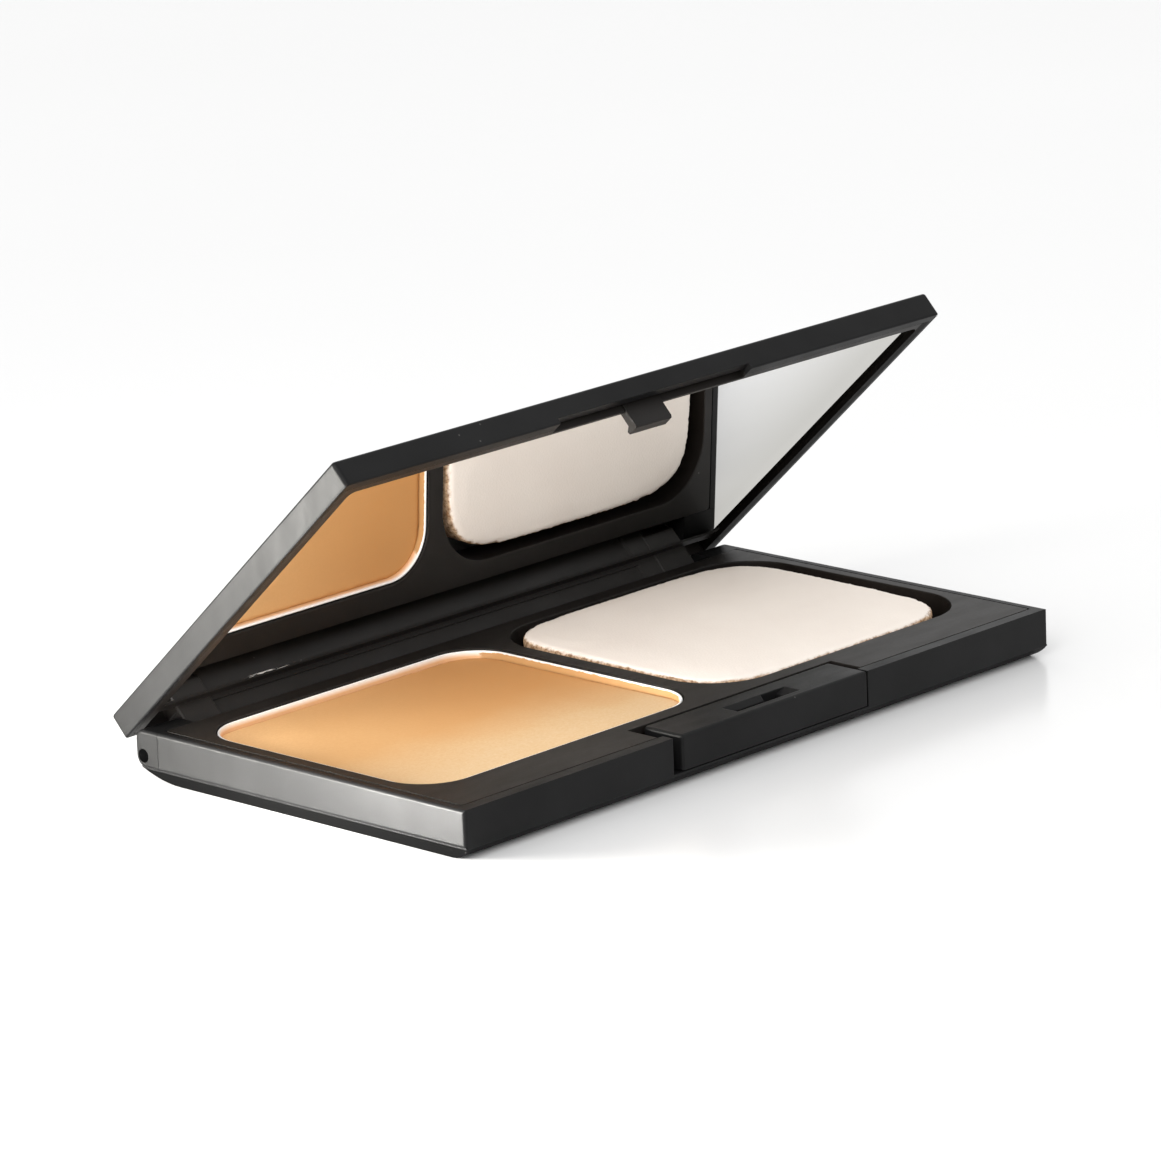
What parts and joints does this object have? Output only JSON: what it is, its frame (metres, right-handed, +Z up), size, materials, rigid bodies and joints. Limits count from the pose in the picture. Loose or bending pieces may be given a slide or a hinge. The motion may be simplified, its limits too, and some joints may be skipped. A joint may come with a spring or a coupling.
{
  "type": "powder compact",
  "caption": "Slim rectangular powder compact, open: powder pan and sponge in a flush tray, full-width mirror in the hinged lid, push-button latch in front.",
  "frame": {"origin": "centre of the case's flat underside", "axes": "+X right along the length seen from the front, +Y back towards the hinge, +Z up"},
  "size_m": [0.116, 0.0658, 0.0493],
  "materials": {
    "case_plastic": "satin black moulded plastic",
    "tray_plastic": "satin black moulded plastic, finer texture",
    "pin_steel": "drawn steel",
    "pan_metal": "bright rolled sheet",
    "powder": "pressed powder, fully matte",
    "sponge_foam": "fine-pored soft foam, matte",
    "mirror_glass": "silvered glass, polished",
    "tape": "adhesive",
    "label": "blank printed film, satin"
  },
  "bodies": {
    "base": {"base_case": "case_plastic", "bottom_label": "label", "inner_tray": "tray_plastic", "hinge_block_left": "case_plastic", "hinge_block_right": "case_plastic", "hinge_pin_left": "pin_steel", "hinge_pin_right": "pin_steel", "powder_pan": "pan_metal", "pan_glue": "tape", "powder_cake": "powder", "sponge": "sponge_foam", "button_spring": "pin_steel"},
    "latch_button": {"latch_button": "case_plastic"},
    "lid": {"lid_cover": "case_plastic", "lid_frame": "tray_plastic", "mirror": "mirror_glass", "mirror_tape": "tape", "latch_hook": "tray_plastic"}
  },
  "joints": [
    {"name": "lid_hinge", "type": "hinge", "parent": "base", "child": "lid", "pos_m": [0, 0.0292, 0.00346], "axis": [-1, 0, 0], "range_deg": [-42.7, 62.3]},
    {"name": "button_press", "type": "slide", "parent": "base", "child": "latch_button", "axis": [0, 1, 0], "range_m": [0, 0.00055], "stiffness_N_per_m": 3000, "springref_m": -0.0002, "deforming": ["button_spring"]}
  ]
}
